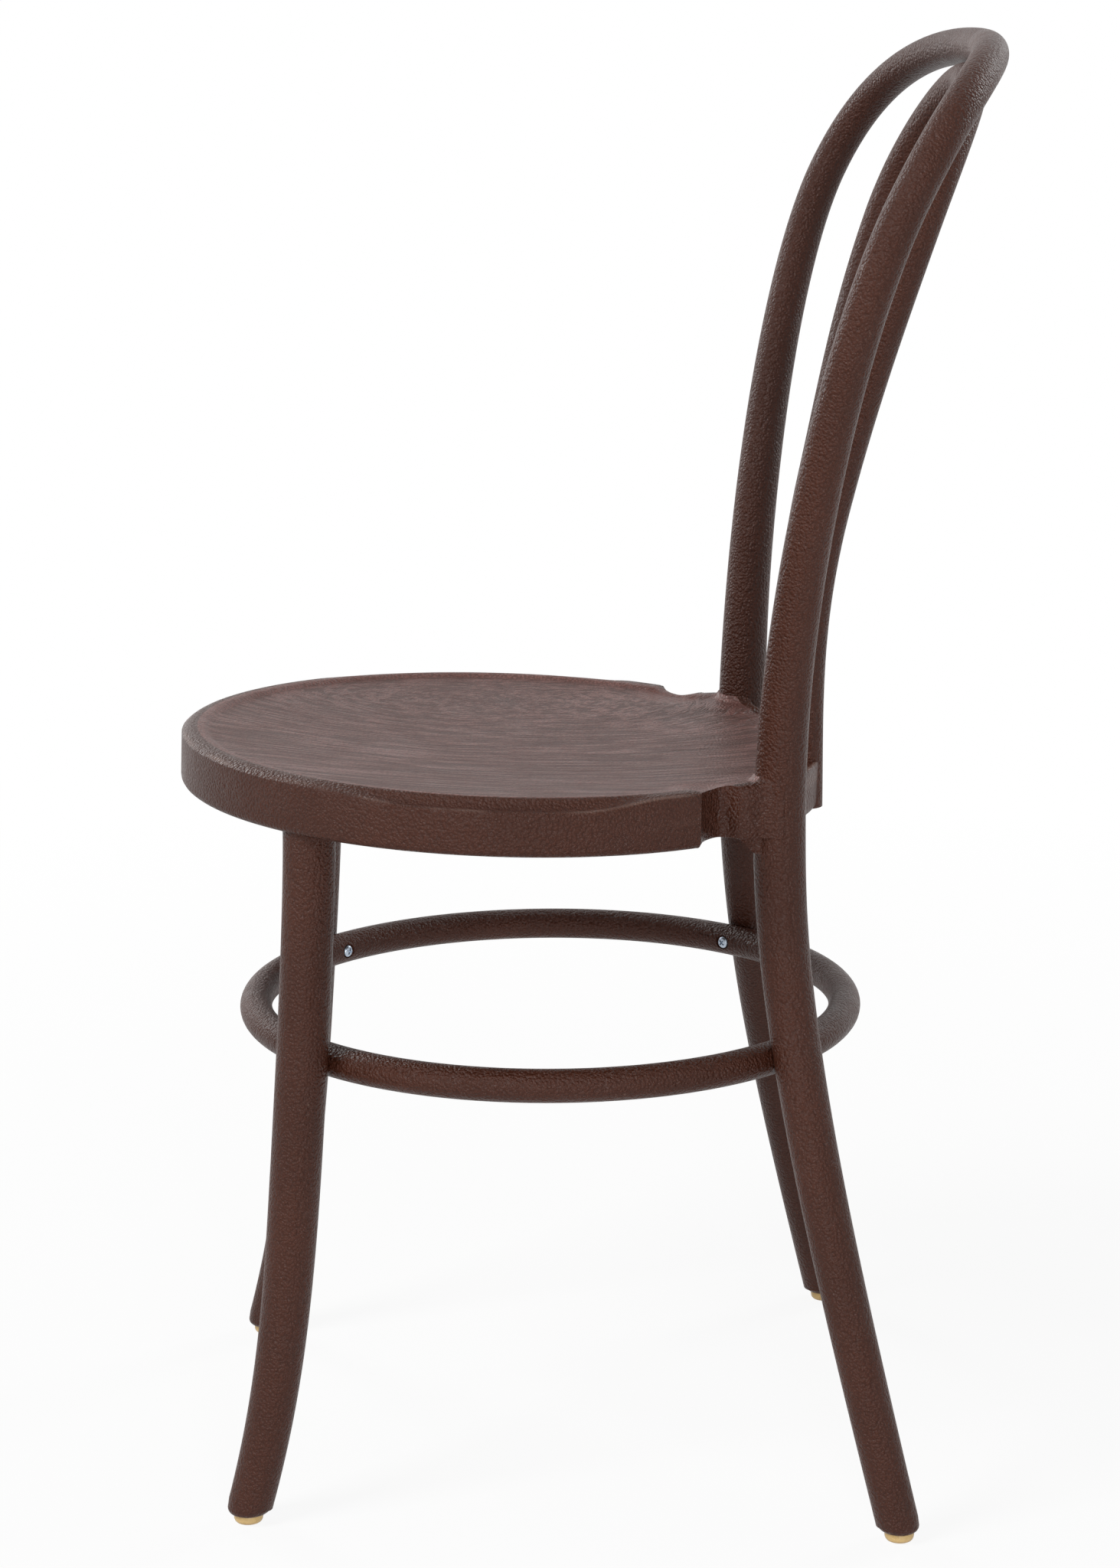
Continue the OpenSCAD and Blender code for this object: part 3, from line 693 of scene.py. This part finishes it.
class Maker(Tree):
    """Adds shader nodes to one new material."""

    def __init__(self, name):
        self.material = bpy.data.materials.new(name)
        self.material.use_nodes = True
        super().__init__(self.material.node_tree)
        self.shader = self.nodes["Principled BSDF"]
        self.place = self.add("ShaderNodeTexCoord", {}).outputs["Object"]

    def axes(self):
        """The place's x, y and z in metres."""
        return tuple(self.add("ShaderNodeSeparateXYZ", {"Vector": self.place}).outputs)

    def noise(self, scale, detail=2.0, rough=0.5, place=None):
        inputs = {"Vector": place or self.place, "Scale": scale, "Detail": detail, "Roughness": rough}
        return self.add("ShaderNodeTexNoise", inputs).outputs["Fac"]

    def pebbles(self, scale):
        """1 on the top of each pebble of the grain, less between them."""
        inputs = {"Vector": self.place, "Scale": scale, "Smoothness": 0.4}
        cells = self.add("ShaderNodeTexVoronoi", inputs, feature="SMOOTH_F1").outputs["Distance"]
        return self.math("SUBTRACT", 1.0, cells)

    def ramp(self, value, low, high, to_low=0.0, to_high=1.0):
        inputs = {"Value": value, "From Min": low, "From Max": high, "To Min": to_low, "To Max": to_high}
        return self.add("ShaderNodeMapRange", inputs).outputs[0]

    def fade(self, value, low, high):
        """1 below low, 0 above high."""
        return self.ramp(value, low, high, 1.0, 0.0)

    def plan_distance(self, x, y, to_x, to_y):
        """Distance in plan from a place in millimetres, on either side of the chair."""
        across = self.math("SUBTRACT", self.math("ABSOLUTE", x), to_x / MM_PER_M)
        along = self.math("SUBTRACT", y, (to_y - RING_TO_BOX) / MM_PER_M)
        return self.length(across, along)

    def mix(self, share, a, b):
        return self.add("ShaderNodeMix", {0: share, 6: a, 7: b}, data_type="RGBA").outputs[2]

    def bump(self, height, strength, distance):
        inputs = {"Height": height, "Strength": strength, "Distance": distance}
        return self.add("ShaderNodeBump", inputs).outputs[0]

    def finish(self, color, rough, normal=None, **uniform):
        self.set(self.shader, "Base Color", color)
        self.set(self.shader, "Roughness", rough)
        if normal is not None:
            self.set(self.shader, "Normal", normal)
        for key, value in uniform.items():
            self.shader.inputs[key.replace("_", " ")].default_value = value
        return self.material


# Colours. A pair is the darker and the lighter end of the clouding.
BROWN = ((0.043, 0.0120, 0.0058, 1), (0.070, 0.0212, 0.0114, 1))
RUBBED_BROWN = (0.30, 0.20, 0.16, 1)
# Paler colour of the painted highlight along the seat rim's ridge
RIDGE_HIGHLIGHT = (0.20, 0.122, 0.098, 1)
SEAT_BROWN = ((0.150, 0.061, 0.050, 1), (0.225, 0.108, 0.094, 1))
GROOVE = (0.066, 0.0245, 0.0175, 1)
PIT = (0.040, 0.015, 0.010, 1)
RUBBED_SEAT = (0.40, 0.30, 0.27, 1)
ZINC = ((0.32, 0.38, 0.46, 1), (0.58, 0.64, 0.72, 1))
AMBER = ((0.62, 0.40, 0.13, 1), (0.80, 0.57, 0.26, 1))
# Darker colour in patches towards the glides' bottom edge
LOW_EDGE_AMBER = (0.30, 0.19, 0.10, 1)
FLOOR = ((0.86, 0.86, 0.86, 1), (0.88, 0.88, 0.88, 1))
WHITE = (1, 1, 1, 1)

# Bump depth of the moulded grain in metres
GRAIN_DEPTH = 0.0012
# Middles in plan of the lug's smoother side and of the scoop, which has no grain, in millimetres
LUG_SIDE = (143.0, 99.0)
SCOOP = (145.0, 86.0)


def scuffs(m, scale, amount):
    """Share of small pale rubs and nicks."""
    spots = m.ramp(m.noise(scale, 4.0, 0.65), 0.66, 0.76)
    patches = m.ramp(m.noise(9.0, 1.0), 0.5, 0.62)
    return m.times(spots, patches, amount)


def make_pebbled(name, on_seat):
    """Resin with a fine leather grain. On the seat a painted highlight runs along the ridge, and the lugs
    are smoother.
    """
    m = Maker(name)
    grain = m.weighted(m.pebbles(560.0), 0.8, m.noise(1100.0, 1.5), 0.5)
    clouding = m.weighted(m.noise(11.0, 3.0), 0.5, grain, 0.4)
    color = m.mix(m.ramp(clouding, 0.42, 0.76), *BROWN)
    color = m.mix(scuffs(m, 240.0, 0.35), color, RUBBED_BROWN)
    rough = m.ramp(m.weighted(m.noise(35.0, 3.0), 1.0, grain, 0.3), 0.4, 1.1, 0.32, 0.46)
    if on_seat:
        x, y, z = m.axes()
        reach = m.plan_distance(x, y, 0.0, SEAT_Y)
        edge = m.times(m.ramp(reach, 0.1978, 0.1990), m.fade(reach, 0.2000, 0.2007))
        # Painted highlight: the rim's rounded upper edge is coloured paler in patches, but not on the lugs
        ridge = m.times(edge, m.ramp(z, 0.436, 0.440))
        lug = m.fade(m.plan_distance(x, y, *LUG_SIDE), 0.020, 0.040)
        patches = m.ramp(m.noise(22.0, 3.0), 0.42, 0.62, 0.0, 0.62)
        band_share = m.times(ridge, patches, m.math("SUBTRACT", 1.0, lug))
        color = m.mix(band_share, color, RIDGE_HIGHLIGHT)
        rough = m.math("SUBTRACT", rough, m.times(lug, 0.12))
    return m.finish(color, rough, m.bump(grain, 1.0, GRAIN_DEPTH), Specular_IOR_Level=0.2)


def ring_noise(m, distance, turn, distance_scale, turn_scale, detail, rough):
    """Noise drawn out along the rings round the grain's middle."""
    inputs = {0: m.times(distance, distance_scale), 1: m.times(turn, turn_scale)}
    return m.noise(1.0, detail, rough, m.add("ShaderNodeCombineXYZ", inputs).outputs[0])


def make_seat_top():
    """Embossed wood grain on the panel and the lugs, and smooth resin on the lip and beside the scoop."""
    m = Maker("grained_resin")
    x, y, _ = m.axes()
    # The grain runs in rings round a place on the panel's right side, twice as long from front to back
    grain_x, grain_y, flatten = 0.125, 0.025 + RING_TO_BOX / MM_PER_M, 0.5
    gx, gy = m.math("ADD", x, grain_x), m.times(m.math("ADD", y, grain_y), flatten)
    wave = m.ramp(m.noise(7.0, 1.0), 0.3, 0.7, -0.006, 0.006)
    distance, turn = m.math("ADD", m.length(gx, gy), wave), m.math("ARCTAN2", gy, gx)
    fine = ring_noise(m, distance, turn, 440.0, 6.5, 3.0, 0.6)
    wide = ring_noise(m, distance, turn, 130.0, 2.6, 2.0, 0.5)
    streaks = m.ramp(m.weighted(fine, 0.7, wide, 0.3), 0.43, 0.55)
    # The grain covers the panel and the rear sector, but not the scoop or the collar
    panel = m.fade(m.plan_distance(x, y, 0.0, SEAT_Y), 0.1825, 0.1845)
    from_middle = m.math("ADD", y, (RING_TO_BOX - SEAT_Y) / MM_PER_M)
    from_back = m.math("ARCTAN2", m.math("ABSOLUTE", x), from_middle)
    behind = m.fade(from_back, math.radians(52), math.radians(54))
    off_scoop = m.ramp(m.plan_distance(x, y, *SCOOP), 0.021, 0.026)
    off_post = m.ramp(m.plan_distance(x, y, *POST), 0.018, 0.027)
    here = m.times(m.math("MAXIMUM", panel, behind), off_scoop, off_post)
    speckle = m.pebbles(620.0)
    base = m.mix(m.ramp(m.noise(10.0, 3.0), 0.35, 0.65), *SEAT_BROWN)
    grained = m.mix(m.times(streaks, here), GROOVE, base)
    color = m.mix(here, base, grained)
    color = m.mix(m.ramp(speckle, 0.35, 0.75, 0.6, 0.0), color, PIT)
    color = m.mix(scuffs(m, 160.0, 0.25), color, RUBBED_SEAT)
    rough = m.ramp(m.weighted(streaks, 0.5, m.noise(30.0, 3.0), 1.0), 0.4, 1.2, 0.50, 0.38)
    height = m.weighted(m.times(streaks, here), 0.5, speckle, 0.5)
    return m.finish(color, rough, m.bump(height, 1.0, GRAIN_DEPTH), Specular_IOR_Level=0.3)


def make_zinc():
    """Bright zinc-plated steel with a faint brushed clouding."""
    m = Maker("zinc_plate")
    cloud = m.noise(900.0, 3.0)
    rough = m.ramp(cloud, 0.3, 0.7, 0.28, 0.46)
    return m.finish(m.mix(cloud, *ZINC), rough, m.bump(cloud, 0.15, 0.0001), Metallic=0.95)


def make_amber():
    """Amber translucent plastic, darker in patches towards its bottom edge."""
    m = Maker("amber_plastic")
    _, _, z = m.axes()
    cloud = m.noise(260.0, 3.0)
    band_share = m.times(m.fade(z, 0.0004, 0.0022), m.ramp(m.noise(700.0, 2.0), 0.4, 0.6, 0.2, 0.8))
    color = m.mix(band_share, m.mix(cloud, *AMBER), LOW_EDGE_AMBER)
    rough = m.ramp(cloud, 0.3, 0.7, 0.25, 0.42)
    return m.finish(color, rough, m.bump(cloud, 0.1, 0.0002), Transmission_Weight=0.25)


# Floor, light and camera

# The photograph's camera: place in millimetres, angles in radians, and focal length in picture widths
CAMERA = (2258.29, -85.27, 931.62)
YAW, PITCH, ROLL = 0.040675, 0.2207, -0.003
PHOTO_WIDTH = 1463.0
FOCAL = 4784.77 / PHOTO_WIDTH
SENSOR_WIDTH = 36.0


def make_camera():
    forward = Vector((-math.cos(YAW) * math.cos(PITCH), math.sin(YAW) * math.cos(PITCH), -math.sin(PITCH)))
    right = forward.cross(Vector(UP)).normalized()
    up = right.cross(forward)
    turned_right = right * math.cos(ROLL) + up * math.sin(ROLL)
    turned_up = up * math.cos(ROLL) - right * math.sin(ROLL)
    cam = bpy.data.cameras.new("photo_camera")
    cam.sensor_fit = "HORIZONTAL"
    cam.sensor_width = SENSOR_WIDTH
    cam.lens = FOCAL * SENSOR_WIDTH
    cam.clip_start, cam.clip_end = 0.05, 60.0
    ob = new_object("photo_camera", cam)
    turned = Matrix((turned_right, turned_up, -forward)).transposed().to_4x4()
    turned.translation = mm(*CAMERA)
    ob.matrix_world = turned
    bpy.context.scene.camera = ob


def softbox(name, place, target, width, height, energy):
    data = bpy.data.lights.new(name, "AREA")
    data.shape = "RECTANGLE"
    data.size, data.size_y = width, height
    data.energy = energy
    ob = new_object(name, data)
    ob.location = place
    ob.rotation_euler = (Vector(target) - Vector(place)).to_track_quat("-Z", "Y").to_euler()


def background_ray(tree):
    """1 for camera, mirror and see-through rays, which meet the plain white studio."""
    rays = tree.add("ShaderNodeLightPath", {}).outputs
    seen = tree.math("ADD", rays["Is Camera Ray"], rays["Is Glossy Ray"])
    return tree.math("MINIMUM", tree.math("ADD", seen, rays["Is Transmission Ray"]), 1.0)


def make_floor():
    """Pale floor that keeps the chair's shadow and turns into the white background away from it."""
    m = Maker("studio_floor")
    m.finish(m.mix(m.noise(2.0, 2.0), *FLOOR), 0.9, Specular_IOR_Level=0.0)
    glow = m.add("ShaderNodeEmission", {"Color": WHITE, "Strength": 1.0})
    away = m.add("ShaderNodeVectorMath", {0: m.place}, operation="LENGTH").outputs["Value"]
    share = m.times(background_ray(m), m.ramp(away, 0.4, 1.8, 0.90, 1.0))
    both = m.add("ShaderNodeMixShader", {0: share, 1: m.shader.outputs[0], 2: glow.outputs[0]})
    m.links.new(both.outputs[0], m.nodes["Material Output"].inputs["Surface"])
    half = 9.0
    corners = [(-half, -half, 0), (half, -half, 0), (half, half, 0), (-half, half, 0)]
    mesh = bpy.data.meshes.new("studio_floor")
    mesh.from_pydata(corners, [], [(0, 1, 2, 3)])
    mesh.materials.append(m.material)
    ob = new_object("studio_floor", mesh)


def make_world():
    """Soft light from all round, which looks plain white where it is seen or mirrored."""
    world = bpy.data.worlds.new("studio")
    bpy.context.scene.world = world
    world.use_nodes = True
    tree = Tree(world.node_tree)
    soft = tree.nodes["Background"]
    soft.inputs["Color"].default_value = WHITE
    soft.inputs["Strength"].default_value = 0.25
    white = tree.add("ShaderNodeBackground", {"Color": WHITE, "Strength": 1.0})
    share = background_ray(tree)
    both = tree.add("ShaderNodeMixShader", {0: share, 1: soft.outputs[0], 2: white.outputs[0]})
    tree.links.new(both.outputs[0], tree.nodes["World Output"].inputs["Surface"])


def dress(ob, slot, material, *nodes):
    """Gives a new piece its finish and puts it in place of the CAD nodes that it stands for."""
    if material:
        ob.data.materials.clear()
        ob.data.materials.append(material)
    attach(ob, "root")
    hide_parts(*nodes)


pebbled = make_pebbled("pebbled_resin", False)
seat_wall = make_pebbled("pebbled_seat_resin", True)
seat_top = make_seat_top()
zinc = make_zinc()
amber = make_amber()

dress(make_back_frame(), "frame_resin", pebbled, "back_frame")
dress(make_loop(), "frame_resin", pebbled, "inner_loop")
dress(make_front_leg("front_leg_l", 1), "frame_resin", pebbled, "front_leg_left")
dress(make_front_leg("front_leg_r", -1), "frame_resin", pebbled, "front_leg_right")
dress(make_ring(), "frame_resin", pebbled, "ring_stretcher")
dress(make_screws(), "zinc_steel", zinc, "ring_screws")
dress(make_seat(), "seat_resin", None, "seat")
for word, path in (("front", front_leg_path()), ("rear", back_half())):
    for side_word, side in (("left", 1), ("right", -1)):
        glide = make_glide(f"glide_{word}_{side_word}_button", path, side)
        dress(glide, "amber_glide", amber, f"glide_{word}_{side_word}")
for name in ("lug_screws", "front_leg_screws", "loop_foot_screws", "loop_top_screw"):
    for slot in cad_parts[name].material_slots:
        slot.material = zinc

make_floor()
make_world()
make_camera()
# Each softbox: place and target in metres, width and height in metres, and power in watts
softbox("key", (1.4, -2.2, 2.6), (0, 0, 0.45), 1.2, 1.0, 68)
softbox("front", (2.75, 0.25, 0.52), (0, 0, 0.48), 0.45, 1.0, 32)
softbox("rim", (-1.6, 2.0, 1.9), (0, 0, 0.55), 0.8, 1.2, 18)
softbox("back", (-2.2, -1.6, 1.5), (0, 0, 0.5), 0.8, 1.2, 20)
bpy.context.scene.view_settings.view_transform = "Standard"
